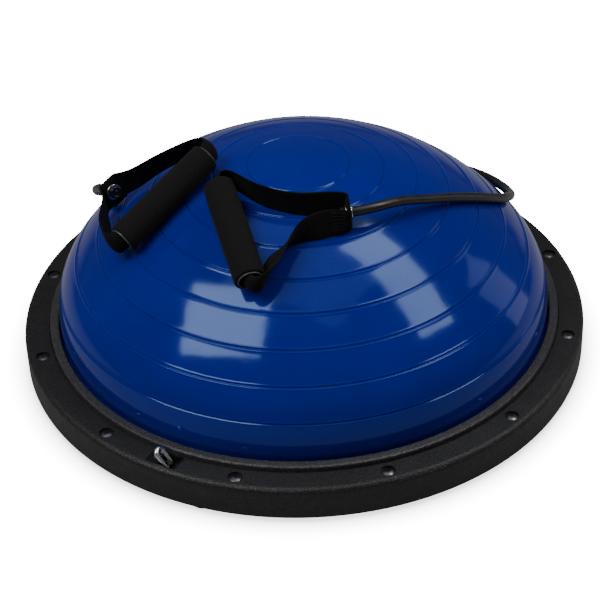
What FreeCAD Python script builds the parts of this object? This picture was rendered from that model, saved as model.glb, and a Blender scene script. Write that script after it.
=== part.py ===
import FreeCAD, Part
import math
import os
import Sketcher

# Balance dome trainer: a round moulded platform with an inflatable half-ball
# clamped on top, two swinging anchor rings in the rim, and a loose resistance
# tube with a stirrup handle at each end, draped over and round the dome.
#
# Frame: millimetres, +Z up, origin on the floor under the dome's axis, with
# the two anchor rings on the Y axis (front anchor at -Y).

os.makedirs("parts", exist_ok=True)
doc = FreeCAD.newDocument("BalanceDome")

# ---------------------------------------------------------------- dimensions

sheet = doc.addObject("Spreadsheet::Sheet", "dims")
DIMENSIONS = {
    # platform
    "outer_radius": 300.0,
    "platform_bottom": 3.0,
    "plate_top": 8.0,
    "shelf_bottom": 24.0,
    "seam_height": 33.0,
    "rim_split_radius": 269.0,
    "wall_inner_radius": 295.0,
    "shelf_inner_radius": 253.0,
    "rib_top": 31.0,
    "rib_thickness": 4.0,
    "hub_radius": 30.0,
    "recess_radius": 22.0,
    "recess_ceiling": 18.0,
    "hand_slot_length": 112.0,
    "hand_slot_width": 36.0,
    "hand_slot_radius": 222.0,
    # rim screws
    "screw_circle": 285.0,
    "screw_count": 12.0,
    "screw_start_angle": 15.0,
    "post_radius": 7.0,
    "pilot_radius": 2.4,
    "clear_radius": 2.8,
    "well_radius": 7.25,
    "well_floor": 37.4,
    "head_radius": 5.6,
    "head_height": 1.9,
    "screw_length": 18.0,
    # clamp ring
    "flange_top": 40.0,
    "edge_round": 6.0,
    "lip_inner_radius": 262.7,
    "lip_outer_radius": 272.5,
    "lip_top": 46.0,
    "lip_round": 1.6,
    "bead_radius": 269.0,
    "bead_top": 37.0,
    # dome
    "crown_radius": 315.0,
    "dome_top": 223.0,
    "crown_angle": 50.0,
    "shoulder_radius": 84.0,
    "tuck_angle": 99.0,
    "dome_wall": 3.0,
    "groove_start": 53.5,
    "groove_pitch": 35.9,
    "groove_count": 8.0,
    "groove_depth": 0.9,
    # feet
    "foot_radius": 13.0,
    "foot_circle": 283.5,
    "foot_start_angle": 8.0,
    "foot_seat": 1.0,
    # anchors
    "anchor_circle": 283.5,
    "pocket_length": 34.0,
    "pocket_width": 19.0,
    "pocket_corner": 3.0,
    "pocket_floor": 28.0,
    "saddle_gap": 0.3,
    "saddle_top": 39.2,
    "ear_half_width": 1.9,
    "pivot_offset": 4.0,
    "pivot_height": 34.0,
    "link_wire_radius": 2.5,
    "link_half_width": 4.75,
    "link_corner": 3.0,
    "link_straight": 11.75,
    "link_lean": 52.0,
    "link_far_lean": 38.0,
    "pivot_clearance": 0.08,
    "saddle_screw_x": -11.0,
    # valve
    "valve_bore": 5.0,
    "valve_body_radius": 8.0,
    "valve_flange_radius": 14.0,
    "valve_flange": 2.0,
    "plug_clearance": 0.06,
    "plug_stem": 9.0,
    "plug_head_radius": 9.0,
    "plug_head": 2.5,
    # band
    "tube_radius": 5.0,
    "grip_radius": 16.0,
    "grip_half_length": 61.0,
    "core_outer_radius": 12.6,
    "core_inner_radius": 11.2,
    "core_rim": 1.2,
    "strap_width": 30.0,
    "strap_bore_width": 18.0,
    "strap_thickness": 2.0,
    "grommet_radius": 8.2,
    "grommet_barrel": 6.3,
    "grommet_hole": 5.3,
    "grommet_flange": 1.0,
    "stop_radius": 6.6,
    "stop_length": 5.0,
}
for row, (alias, value) in enumerate(DIMENSIONS.items(), start=1):
    sheet.set("A%d" % row, alias)
    sheet.set("B%d" % row, str(value))
    sheet.setAlias("B%d" % row, alias)
doc.recompute()


def dim(alias):
    """The number that the sheet holds under an alias."""
    return float(getattr(sheet, alias))


V = FreeCAD.Vector
Z_AXIS = V(0, 0, 1)
NODES = []

# ------------------------------------------------------------------- helpers


def new_body(label):
    """An empty body that becomes one exported sub-part."""
    body = doc.addObject("PartDesign::Body", label)
    body.Label = label
    NODES.append(body)
    return body


def origin_plane(body, role):
    """One of the body's own three origin planes."""
    return [item for item in body.Origin.OriginFeatures if item.Role == role][0]


def new_sketch(body, name, role, height=0.0):
    """A sketch on an origin plane of its body, moved along the plane's normal."""
    sketch = body.newObject("Sketcher::SketchObject", name)
    sketch.AttachmentSupport = [(origin_plane(body, role), "")]
    sketch.MapMode = "FlatFace"
    sketch.AttachmentOffset = FreeCAD.Placement(V(0, 0, height), FreeCAD.Rotation())
    return sketch


def outline(sketch, points):
    """A closed outline of lines and arcs. Each point is (x, y); a point with four
    numbers (mx, my, x, y) is reached by an arc through (mx, my)."""
    first = len(sketch.Geometry)
    ends = [V(point[-2], point[-1], 0) for point in points]
    for index, point in enumerate(points):
        start = ends[index - 1]
        end = ends[index]
        if len(point) == 4:
            middle = V(point[0], point[1], 0)
            sketch.addGeometry(Part.Arc(start, middle, end), False)
        else:
            sketch.addGeometry(Part.LineSegment(start, end), False)
    count = len(points)
    joined = []
    for index in range(count):
        this = first + index
        following = first + (index + 1) % count
        end_of_this = end_index(sketch, this, ends[index])
        start_of_next = end_index(sketch, following, ends[index])
        joined.append(
            Sketcher.Constraint("Coincident", this, end_of_this, following, start_of_next)
        )
    sketch.addConstraint(joined)


def end_index(sketch, edge, point):
    """1 or 2: which end of a sketch edge lies at a point."""
    to_first = (sketch.getPoint(edge, 1) - point).Length
    to_second = (sketch.getPoint(edge, 2) - point).Length
    return 1 if to_first < to_second else 2


def circle(sketch, x, y, radius, alias=None):
    """A circle whose radius may be bound to the sheet."""
    index = sketch.addGeometry(Part.Circle(V(x, y, 0), Z_AXIS, radius), False)
    constraint = sketch.addConstraint(Sketcher.Constraint("Radius", index, radius))
    if alias:
        sketch.setExpression("Constraints[%d]" % constraint, "dims." + alias)


def revolve(body, name, points):
    """A full turn about Z of an (r, z) outline."""
    sketch = new_sketch(body, name + "_outline", "XZ_Plane")
    outline(sketch, points)
    turn = body.newObject("PartDesign::Revolution", name)
    turn.Profile = sketch
    turn.ReferenceAxis = (sketch, ["V_Axis"])
    turn.Angle = 360.0
    doc.recompute()
    return turn


def pad(body, name, sketch, length, expression=None, both_ways=False):
    """A sketch pushed out along its normal."""
    feature = body.newObject("PartDesign::Pad", name)
    feature.Profile = sketch
    if both_ways:
        feature.SideType = "Symmetric"
    feature.Length = length
    if expression:
        feature.setExpression("Length", expression)
    doc.recompute()
    return feature


def cut(body, name, sketch, length, upwards, both_ways=False):
    """A pocket of stated depth, up or down from its sketch, that must remove something."""
    before = body.Shape.Volume
    feature = body.newObject("PartDesign::Pocket", name)
    feature.Profile = sketch
    if both_ways:
        feature.SideType = "Symmetric"
    feature.Length = length
    feature.Reversed = upwards
    doc.recompute()
    if body.Shape.Volume > before - 1.0:
        raise RuntimeError(name + " cut nothing")
    return feature


def ring_of(body, name, originals, count):
    """Features repeated round the body's Z axis."""
    pattern = body.newObject("PartDesign::PolarPattern", name)
    pattern.Originals = originals
    pattern.Axis = ([a for a in body.Origin.OriginFeatures if a.Role == "Z_Axis"][0], [""])
    pattern.Angle = 360.0
    pattern.Occurrences = count
    body.Tip = pattern
    doc.recompute()
    return pattern


def polar(radius, degrees):
    """x and y of a point given by its radius and its angle from +X."""
    return (
        radius * math.cos(math.radians(degrees)),
        radius * math.sin(math.radians(degrees)),
    )


def between(centre, radius, start, end):
    """The middle and end points of an arc, angles in degrees from +X."""
    middle = 0.5 * (start + end)
    mx, my = polar(radius, middle)
    ex, ey = polar(radius, end)
    return (centre[0] + mx, centre[1] + my, centre[0] + ex, centre[1] + ey)


def rounded_box(length, width, corner, y=0.0):
    """A rectangle's outline with round corners, centred on the Y axis at y."""
    a = 0.5 * length
    b = 0.5 * width
    short = corner * (1.0 - math.sqrt(0.5))
    return [
        (a - corner, y - b),
        (a - short, y - b + short, a, y - b + corner),
        (a, y + b - corner),
        (a - short, y + b - short, a - corner, y + b),
        (-a + corner, y + b),
        (-a + short, y + b - short, -a, y + b - corner),
        (-a, y - b + corner),
        (-a + short, y - b + short, -a + corner, y - b),
    ]


def shape_group(label, shapes):
    """One node that holds several equal, separate solids."""
    group = doc.addObject("Part::Feature", label)
    group.Label = label
    group.Shape = Part.makeCompound(shapes)
    NODES.append(group)
    return group


SCREWS = int(dim("screw_count"))
HALF_TURN = FreeCAD.Rotation(Z_AXIS, 180)

# ------------------------------------------------------------- base platform
# The hollow moulding, kept as plain pieces that fit face to face: a hub round
# the valve, a flat floor with two hand slots, and a rim with outer wall, foot
# seats, screw posts and the shelf that the clamp ring sits on.

outer = dim("outer_radius")
bottom = dim("platform_bottom")
plate = dim("plate_top")
seam = dim("seam_height")
split = dim("rim_split_radius")
part_gap = 0.1

hub = new_body("platform_hub")
revolve(hub, "hub_block", [
    (dim("recess_radius"), bottom),
    (dim("hub_radius"), bottom),
    (dim("hub_radius"), dim("rib_top")),
    (dim("valve_body_radius"), dim("rib_top")),
    (dim("valve_body_radius"), dim("recess_ceiling")),
    (dim("recess_radius"), dim("recess_ceiling")),
])

floor = new_body("platform_floor")
revolve(floor, "plate", [
    (dim("hub_radius") + part_gap, bottom),
    (split - part_gap, bottom),
    (split - part_gap, plate),
    (dim("hub_radius") + part_gap, plate),
])
slot_sketch = new_sketch(floor, "hand_slots", "XY_Plane", bottom - 1.0)
half_slot = 0.5 * dim("hand_slot_width")
half_run = 0.5 * dim("hand_slot_length") - half_slot
for side in (-1, 1):
    middle = side * dim("hand_slot_radius")
    outline(slot_sketch, [
        (middle + half_slot, half_run),
        (middle, half_run + half_slot, middle - half_slot, half_run),
        (middle - half_slot, -half_run),
        (middle, -half_run - half_slot, middle + half_slot, -half_run),
    ])
cut(floor, "hand_slot", slot_sketch, plate - bottom + 2.0, upwards=True)

rim = new_body("platform_rim")
edge = 4.0
revolve(rim, "channel", [
    (split, bottom),
    (outer - edge, bottom),
    (outer - 0.29 * edge, bottom + 0.29 * edge, outer, bottom + edge),
    (outer, seam),
    (dim("shelf_inner_radius"), seam),
    (dim("shelf_inner_radius"), dim("shelf_bottom")),
    (dim("wall_inner_radius"), dim("shelf_bottom")),
    (dim("wall_inner_radius"), plate),
    (split, plate),
])
overlap = 0.5
post_x, post_y = polar(dim("screw_circle"), dim("screw_start_angle"))
post_sketch = new_sketch(rim, "post_outline", "XY_Plane", plate - overlap)
circle(post_sketch, post_x, post_y, dim("post_radius"), "post_radius")
post = pad(rim, "post", post_sketch, dim("shelf_bottom") - plate + 2 * overlap)
ring_of(rim, "posts", [post], SCREWS)

pilot_sketch = new_sketch(rim, "pilot_outline", "XY_Plane", seam)
circle(pilot_sketch, post_x, post_y, dim("pilot_radius"), "pilot_radius")
pilot = cut(rim, "pilot", pilot_sketch, dim("screw_length"), upwards=False)
ring_of(rim, "pilots", [pilot], SCREWS)

seat_sketch = new_sketch(rim, "anchor_seats", "XY_Plane", seam)
for side in (-1, 1):
    outline(seat_sketch, rounded_box(
        dim("pocket_length"), dim("pocket_width"), dim("pocket_corner"), side * dim("anchor_circle")
    ))
cut(rim, "anchor_seat", seat_sketch, seam - dim("pocket_floor"), upwards=False)

# The tip of each saddle screw stands in the shelf.
tips_sketch = new_sketch(rim, "saddle_pilots", "XY_Plane", dim("pocket_floor") + 1.0)
for side in (-1, 1):
    circle(tips_sketch, side * -dim("saddle_screw_x"), side * dim("anchor_circle"), 1.7)
cut(rim, "saddle_pilot", tips_sketch, 4.0, upwards=False)

FEET = 4
foot_x, foot_y = polar(dim("foot_circle"), dim("foot_start_angle"))
foot_seat_sketch = new_sketch(rim, "foot_seat_outline", "XY_Plane", bottom - 1.0)
circle(foot_seat_sketch, foot_x, foot_y, dim("foot_radius") + part_gap)
foot_seat = cut(rim, "foot_seat", foot_seat_sketch, dim("foot_seat") + 1.0, upwards=True)
ring_of(rim, "foot_seats", [foot_seat], FEET)

# Twelve ribs stand on the floor, run from the hub towards the screw posts and
# carry the bladder.
rib_inner = dim("hub_radius") + part_gap
rib_outer = dim("screw_circle") - dim("post_radius") - part_gap
rib_step = dim("shelf_inner_radius") - 2 * part_gap
rib_face = Part.Face(Part.makePolygon([
    V(rib_inner, 0, plate),
    V(rib_outer, 0, plate),
    V(rib_outer, 0, dim("shelf_bottom")),
    V(rib_step, 0, dim("shelf_bottom")),
    V(rib_step, 0, dim("rib_top")),
    V(rib_inner, 0, dim("rib_top")),
    V(rib_inner, 0, plate),
]))
one_rib = rib_face.extrude(V(0, dim("rib_thickness"), 0))
one_rib.translate(V(0, -0.5 * dim("rib_thickness"), 0))
ribs = []
for index in range(SCREWS):
    rib = one_rib.copy()
    rib.rotate(V(0, 0, 0), Z_AXIS, dim("screw_start_angle") + index * 360.0 / SCREWS)
    ribs.append(rib)
shape_group("platform_ribs", ribs)

# ---------------------------------------------------------------- clamp ring
# The top ring: a flat grained flange with a rounded edge, and inside it the
# raised lip that holds the dome's bead down, past a fine dark groove.

top = dim("flange_top")
round_over = dim("edge_round")
lip_in = dim("lip_inner_radius")
lip_out = dim("lip_outer_radius")
lip_top = dim("lip_top")
lip_round = dim("lip_round")
bead_gap = 0.2
clamp = new_body("clamp_ring")
revolve(clamp, "flange", [
    (lip_out + part_gap, seam),
    (outer, seam),
    (outer, top - round_over),
    between((outer - round_over, top - round_over), round_over, 0, 90),
    (lip_out + 1.1, top),
    (lip_out + 0.6, top - 1.2),
    (lip_out + part_gap, top - 1.2),
])
well_sketch = new_sketch(clamp, "well_outline", "XY_Plane", top + 1.0)
circle(well_sketch, post_x, post_y, dim("well_radius"), "well_radius")
well = cut(clamp, "well", well_sketch, top + 1.0 - dim("well_floor"), upwards=False)
hole_sketch = new_sketch(clamp, "hole_outline", "XY_Plane", top + 1.0)
circle(hole_sketch, post_x, post_y, dim("clear_radius"), "clear_radius")
hole = cut(clamp, "hole", hole_sketch, top + 1.0 - seam + 1.0, upwards=False)
ring_of(clamp, "wells", [well, hole], SCREWS)

pocket_sketch = new_sketch(clamp, "pocket_outline", "XY_Plane", top + 1.0)
for side in (-1, 1):
    outline(pocket_sketch, rounded_box(
        dim("pocket_length"), dim("pocket_width"), dim("pocket_corner"), side * dim("anchor_circle")
    ))
cut(clamp, "anchor_pockets", pocket_sketch, top + 2.0 - seam, upwards=False)

lip = new_body("lip_ring")
revolve(lip, "lip", [
    (dim("bead_radius") + bead_gap, seam),
    (lip_out, seam),
    (lip_out, lip_top - lip_round),
    between((lip_out - lip_round, lip_top - lip_round), lip_round, 0, 90),
    (lip_in + lip_round, lip_top),
    between((lip_in + lip_round, lip_top - lip_round), lip_round, 90, 180),
    (lip_in, dim("bead_top") + bead_gap),
    (dim("bead_radius") + bead_gap, dim("bead_top") + bead_gap),
])

# ---------------------------------------------------------------- dome shell
# Air-filled half-ball: a spherical crown that runs into a tighter shoulder,
# tucks in under its widest place and ends in a bead under the clamp ring.

dome = new_body("dome_shell")
crown = dim("crown_radius")
crown_centre = (0.0, dim("dome_top") - crown)
crown_end = 90.0 - dim("crown_angle")
shoulder = dim("shoulder_radius")
run_x, run_z = polar(crown - shoulder, crown_end)
shoulder_centre = (run_x, crown_centre[1] + run_z)
tuck_end = 90.0 - dim("tuck_angle")
wall = dim("dome_wall")
bead_inner = dim("shelf_inner_radius") - 0.8
tuck_in = between(shoulder_centre, shoulder - wall, crown_end, tuck_end)
revolve(dome, "skin", [
    (0.0, dim("dome_top")),
    between(crown_centre, crown, 90.0, crown_end),
    between(shoulder_centre, shoulder, crown_end, tuck_end),
    (tuck_in[2] + wall - 1.4, dim("bead_top")),
    (dim("bead_radius"), dim("bead_top")),
    (dim("bead_radius"), seam),
    (bead_inner, seam),
    (tuck_in[2] - 1.4, dim("bead_top")),
    (tuck_in[2], tuck_in[3]),
    between(shoulder_centre, shoulder - wall, tuck_end, crown_end),
    between(crown_centre, crown - wall, crown_end, 90.0),
])


def dome_point(arc):
    """(r, z) on the dome's outside at an arc length from its top."""
    crown_arc = crown * math.radians(dim("crown_angle"))
    if arc <= crown_arc:
        x, z = polar(crown, 90.0 - math.degrees(arc / crown))
        return (x + crown_centre[0], z + crown_centre[1])
    x, z = polar(shoulder, crown_end - math.degrees((arc - crown_arc) / shoulder))
    return (x + shoulder_centre[0], z + shoulder_centre[1])


groove_sketch = new_sketch(dome, "groove_outline", "XZ_Plane")
for ring in range(int(dim("groove_count"))):
    r, z = dome_point(dim("groove_start") + ring * dim("groove_pitch"))
    circle(groove_sketch, r, z, dim("groove_depth"), "groove_depth")
skin_volume = dome.Shape.Volume
grooves = dome.newObject("PartDesign::Groove", "grooves")
grooves.Profile = groove_sketch
grooves.ReferenceAxis = (groove_sketch, ["V_Axis"])
grooves.Angle = 360.0
doc.recompute()
if dome.Shape.Volume > skin_volume - 1.0:
    raise RuntimeError("the dome's grooves cut nothing")

# The welded floor of the bladder, with a hole for the valve.
bladder_floor = new_body("bladder_floor")
floor_sketch = new_sketch(bladder_floor, "floor_outline", "XY_Plane", dim("rib_top"))
circle(floor_sketch, 0, 0, bead_inner - 0.2)
circle(floor_sketch, 0, 0, dim("valve_body_radius") + 0.1)
pad(bladder_floor, "floor", floor_sketch, seam - dim("rib_top"), "dims.seam_height - dims.rib_top")

# ------------------------------------------------- screws, feet and the valve

screws = new_body("ring_screws")
head = dim("head_radius")
head_top = dim("well_floor") + dim("head_height")
shank = dim("pilot_radius")
screw_tip = seam - dim("screw_length") + 1.0
screw_sketch = new_sketch(screws, "screw_outline", "XZ_Plane")
outline(screw_sketch, [
    (0.0, screw_tip),
    (shank, screw_tip + 1.5),
    (shank, dim("well_floor")),
    (head, dim("well_floor")),
    (head, dim("well_floor") + 0.8),
    (0.62 * head, head_top - 0.3, 0.0, head_top),
])
screw = screws.newObject("PartDesign::Revolution", "screw")
screw.Profile = screw_sketch
screw.ReferenceAxis = (screw_sketch, ["V_Axis"])
screw.Angle = 360.0
doc.recompute()
cross_sketch = new_sketch(screws, "cross_outline", "XY_Plane", head_top + 1.0)
arm = 2.6
slit = 0.45
outline(cross_sketch, [
    (arm, -slit), (arm, slit), (slit, slit), (slit, arm), (-slit, arm), (-slit, slit),
    (-arm, slit), (-arm, -slit), (-slit, -slit), (-slit, -arm), (slit, -arm), (slit, -slit),
])
cut(screws, "cross", cross_sketch, 2.3, upwards=False)
one_screw = screws.Shape.copy()
doc.removeObject(screws.Name)
NODES.remove(screws)


turned = []
for index in range(SCREWS):
    angle = dim("screw_start_angle") + index * 360.0 / SCREWS
    x, y = polar(dim("screw_circle"), angle)
    copy = one_screw.copy()
    copy.rotate(V(0, 0, 0), Z_AXIS, 23.0 * index)
    copy.translate(V(x, y, 0))
    turned.append(copy)
shape_group("ring_screws", turned)

foot_top = bottom + dim("foot_seat")
feet = []
for index in range(FEET):
    x, y = polar(dim("foot_circle"), dim("foot_start_angle") + index * 360.0 / FEET)
    foot = Part.makeCylinder(dim("foot_radius"), foot_top, V(x, y, 0))
    rim = [e for e in foot.Edges if abs(e.BoundBox.ZMax) < 1e-6]
    feet.append(foot.makeChamfer(0.8, rim))
shape_group("rubber_feet", feet)

valve_seat = new_body("valve_seat")
ceiling = dim("recess_ceiling")
flange = dim("valve_flange")
revolve(valve_seat, "seat", [
    (dim("valve_bore"), ceiling - flange),
    (dim("valve_flange_radius"), ceiling - flange),
    (dim("valve_flange_radius"), ceiling),
    (dim("valve_body_radius"), ceiling),
    (dim("valve_body_radius"), seam + 3.0),
    (dim("valve_bore"), seam + 3.0),
])
valve_plug = new_body("valve_plug")
stem = dim("valve_bore") - dim("plug_clearance")
head_face = ceiling - flange - 0.05
plug_tip = ceiling - flange + dim("plug_stem")
revolve(valve_plug, "plug", [
    (0.0, head_face - dim("plug_head")),
    (dim("plug_head_radius") - 0.8, head_face - dim("plug_head")),
    (dim("plug_head_radius"), head_face - dim("plug_head") + 0.8),
    (dim("plug_head_radius"), head_face),
    (stem, head_face),
    (stem, plug_tip - 1.5),
    (stem - 1.0, plug_tip),
    (0.0, plug_tip),
])

# ------------------------------------------------------------------- anchors
# Each anchor is a saddle block in a pocket of the rim, with an ear that a
# closed wire link swings on. The link rests leaning over at link_lean.

GAP = dim("saddle_gap")
PIVOT = (dim("pivot_offset"), dim("pivot_height"))


def saddle(label, turn):
    """The block that an anchor link swings in, at the front or turned to the rear."""
    body = new_body(label)
    base = new_sketch(body, label + "_plan", "XY_Plane", dim("pocket_floor"))
    outline(base, rounded_box(
        dim("pocket_length") - 2 * GAP, dim("pocket_width") - 2 * GAP, dim("pocket_corner") - GAP
    ))
    pad(body, label + "_block", base, dim("saddle_top") - dim("pocket_floor"))
    trough = new_sketch(body, label + "_trough", "XZ_Plane")
    reach = dim("link_wire_radius") + GAP
    px, pz = PIVOT
    rest = 180.0 - dim("link_lean")
    far = dim("link_far_lean")
    rest_side = polar(reach, rest + 90.0)
    far_side = polar(reach, far - 90.0)
    lowest = polar(reach, 0.5 * (rest + 90.0 + far - 90.0 + 360.0))
    rest_run = polar(34.0, rest)
    far_run = polar(20.0, far)
    outline(trough, [
        (px + rest_side[0], pz + rest_side[1]),
        (px + lowest[0], pz + lowest[1], px + far_side[0], pz + far_side[1]),
        (px + far_side[0] + far_run[0], pz + far_side[1] + far_run[1]),
        (px + rest_side[0] + rest_run[0], pz + rest_side[1] + rest_run[1]),
    ])
    cut(body, label + "_notch", trough, 2 * dim("pocket_width"), upwards=False, both_ways=True)
    ear = new_sketch(body, label + "_ear_outline", "XZ_Plane")
    crest = dim("saddle_top") - pz
    outline(ear, [
        (px - crest, dim("pocket_floor")),
        (px + crest, dim("pocket_floor")),
        (px + crest, pz),
        (px, pz + crest, px - crest, pz),
    ])
    pad(body, label + "_ear", ear, 2 * dim("ear_half_width"), "2 * dims.ear_half_width", both_ways=True)
    bore = new_sketch(body, label + "_bore_outline", "XZ_Plane")
    circle(bore, px, pz, dim("link_wire_radius") + dim("pivot_clearance"))
    cut(body, label + "_bore", bore, 2 * dim("pocket_width"), upwards=False, both_ways=True)
    sink = new_sketch(body, label + "_screw_hole", "XY_Plane", dim("saddle_top") + 1.0)
    circle(sink, dim("saddle_screw_x"), 0.0, 3.4)
    cut(body, label + "_sink", sink, 3.2, upwards=False)
    through = new_sketch(body, label + "_screw_bore", "XY_Plane", dim("saddle_top"))
    circle(through, dim("saddle_screw_x"), 0.0, 1.7)
    cut(body, label + "_through", through, dim("saddle_top") - dim("pocket_floor") + 1.0, upwards=False)
    body.Placement = FreeCAD.Placement(turn.multVec(V(0, -dim("anchor_circle"), 0)), turn)
    doc.recompute()


def link(label, turn):
    """A closed link of round wire: pivot bar, two legs and a round end."""
    body = new_body(label)
    half = dim("link_half_width")
    corner = dim("link_corner")
    far_end = corner + dim("link_straight")
    spine = new_sketch(body, label + "_spine", "XY_Plane")
    bend = corner * (1.0 - math.sqrt(0.5))
    outline(spine, [
        (0.0, half - corner),
        (bend, half - bend, corner, half),
        (far_end, half),
        (far_end + half, 0.0, far_end, -half),
        (corner, -half),
        (bend, -half + bend, 0.0, -half + corner),
    ])
    section = new_sketch(body, label + "_section", "XZ_Plane")
    circle(section, 0.0, 0.0, dim("link_wire_radius"), "link_wire_radius")
    wire = body.newObject("PartDesign::AdditivePipe", label + "_wire")
    wire.Profile = section
    wire.Spine = spine
    doc.recompute()
    lean = FreeCAD.Rotation(V(0, 1, 0), -(180.0 - dim("link_lean")))
    place = FreeCAD.Placement(V(PIVOT[0], -dim("anchor_circle"), PIVOT[1]), lean)
    body.Placement = FreeCAD.Placement(V(0, 0, 0), turn).multiply(place)
    doc.recompute()


for suffix, turn in (("front", FreeCAD.Rotation()), ("rear", HALF_TURN)):
    saddle("anchor_saddle_" + suffix, turn)
    link("anchor_ring_" + suffix, turn)

saddle_screws = []
for turn in (FreeCAD.Rotation(), HALF_TURN):
    sink_floor = dim("saddle_top") - 2.2
    shaft = Part.makeCylinder(1.6, sink_floor - 26.0, V(0, 0, 26.0))
    cap = Part.makeCone(3.2, 2.6, 1.8, V(0, 0, sink_floor))
    one = shaft.fuse(cap).removeSplitter()
    one.translate(V(dim("saddle_screw_x"), -dim("anchor_circle"), 0))
    one.rotate(V(0, 0, 0), Z_AXIS, math.degrees(turn.Angle))
    saddle_screws.append(one)
shape_group("saddle_screws", saddle_screws)

# ------------------------------------------------------------------- handles
# Each handle is a flat webbing loop standing on edge: it runs through the
# grip's core and its two ends overlap in a pad with a grommet for the tube.
# In a handle's own frame X runs along the grip, Y from the grip to the pad.


class Handle:
    """Where one handle lies, and the corners of its webbing loop."""

    def __init__(self, side, grip_centre, grip_way, pad_way, loop):
        self.side = side
        x_way = V(*grip_way).normalize()
        y_way = V(*pad_way)
        y_way = (y_way - x_way * x_way.dot(y_way)).normalize()
        rotation = FreeCAD.Rotation(x_way, y_way, x_way.cross(y_way), "XYZ")
        self.placement = FreeCAD.Placement(V(*grip_centre), rotation)
        self.loop = loop
        first = V(loop[0][0], loop[0][1], 0)
        second = V(loop[1][0], loop[1][1], 0)
        self.pad_middle = (first + second) * 0.5
        self.pad_run = (second - first).normalize()
        self.pad_length = (second - first).Length
        self.out = V(-self.pad_run.y, self.pad_run.x, 0)
        if self.out.y < 0:
            self.out = self.out * -1.0


# Each loop: the pad's two corners, the strap's way to one grip end, through the
# grip and out of its other end, and the way back. Third number: corner radius.
RIGHT = Handle(
    "right", (0.0, -131.5, 214.0), (0.671, -0.681, -0.294), (0.7266, 0.6791, 0.0961),
    [(0.5, 115.2, 5.0), (21.5, 113.4, 5.0), (19.5, 68.0, 40.0), (35.0, 38.5, 30.0),
     (65.0, 16.0, 6.0), (69.0, 0.0, 6.0), (-69.0, 0.0, 6.0), (-65.0, 16.5, 6.0),
     (-26.0, 49.0, 30.0), (-8.5, 84.0, 40.0)],
)
LEFT = Handle(
    "left", (-98.5, -101.5, 208.5), (-0.315, -0.863, -0.396), (-0.864, 0.433, -0.25),
    [(4.0, 87.0, 5.0), (30.0, 87.0, 5.0), (61.0, 48.0, 30.0), (69.5, 20.0, 12.0),
     (70.0, 0.0, 6.0), (-69.5, 0.0, 6.0), (-69.0, 22.0, 8.0), (-56.0, 49.0, 20.0),
     (-30.0, 69.0, 30.0)],
)


def rounded_loop(corners, grow):
    """A closed wire through rounded corners, moved outwards by grow."""
    points = [V(x, y, 0) for x, y, _ in corners]
    radii = [radius for _, _, radius in corners]
    count = len(points)
    starts = []
    ends = []
    arcs = []
    for index in range(count):
        here = points[index]
        back = (points[index - 1] - here).normalize()
        ahead = (points[(index + 1) % count] - here).normalize()
        half_angle = 0.5 * back.getAngle(ahead)
        reach = radii[index] / math.tan(half_angle)
        bisector = (back + ahead).normalize()
        centre = here + bisector * (radii[index] / math.sin(half_angle))
        radius = radii[index] + grow
        from_centre = (here + back * reach - centre).normalize()
        to_centre = (here + ahead * reach - centre).normalize()
        starts.append(centre + from_centre * radius)
        ends.append(centre + to_centre * radius)
        arcs.append(Part.Arc(starts[-1], centre - bisector * radius, ends[-1]).toShape())
    edges = []
    for index in range(count):
        edges.append(arcs[index])
        edges.append(Part.LineSegment(ends[index], starts[(index + 1) % count]).toShape())
    return Part.Wire(edges)


def strap(handle):
    """The webbing loop: narrow where it is gathered in the core, doubled at the pad."""
    thick = dim("strap_thickness")
    width = dim("strap_width")
    outside = Part.Face(rounded_loop(handle.loop, 0.5 * thick))
    inside = Part.Face(rounded_loop(handle.loop, -0.5 * thick))
    ribbon = outside.cut(inside).extrude(V(0, 0, width))
    ribbon.translate(V(0, 0, -0.5 * width))
    gathered = dim("strap_bore_width")
    core_run = 2 * dim("grip_half_length") + 4.0
    for low in (-0.5 * width, 0.5 * gathered):
        corner = V(-0.5 * core_run, -0.5 * core_run, low)
        spare = Part.makeBox(core_run, core_run, 0.5 * (width - gathered), corner)
        below_pad = Part.makeBox(core_run, 0.5 * core_run + 4.0, width, corner)
        ribbon = ribbon.cut(spare.common(below_pad))
    overlap_length = handle.pad_length - 10.0
    second_layer = Part.makeBox(overlap_length, thick, width)
    second_layer.translate(V(-0.5 * overlap_length, -0.5 * thick - thick, -0.5 * width))
    towards_pad = FreeCAD.Rotation(V(0, 1, 0), handle.out)
    second_layer.Placement = FreeCAD.Placement(
        handle.pad_middle, towards_pad
    ).multiply(second_layer.Placement)
    ribbon = ribbon.fuse(second_layer)
    start = handle.pad_middle - handle.out * 10.0
    hole = Part.makeCylinder(dim("grommet_barrel") + 0.1, 20.0, start, handle.out)
    ribbon = ribbon.cut(hole).removeSplitter()
    feature = doc.addObject("Part::Feature", "strap_" + handle.side)
    feature.Label = "strap_" + handle.side
    feature.Shape = ribbon
    feature.Placement = handle.placement
    NODES.append(feature)


def turned_piece(label, points, placement):
    """A solid of revolution about its own Z, then placed."""
    body = new_body(label)
    revolve(body, label + "_turn", points)
    body.Placement = placement
    doc.recompute()


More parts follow.
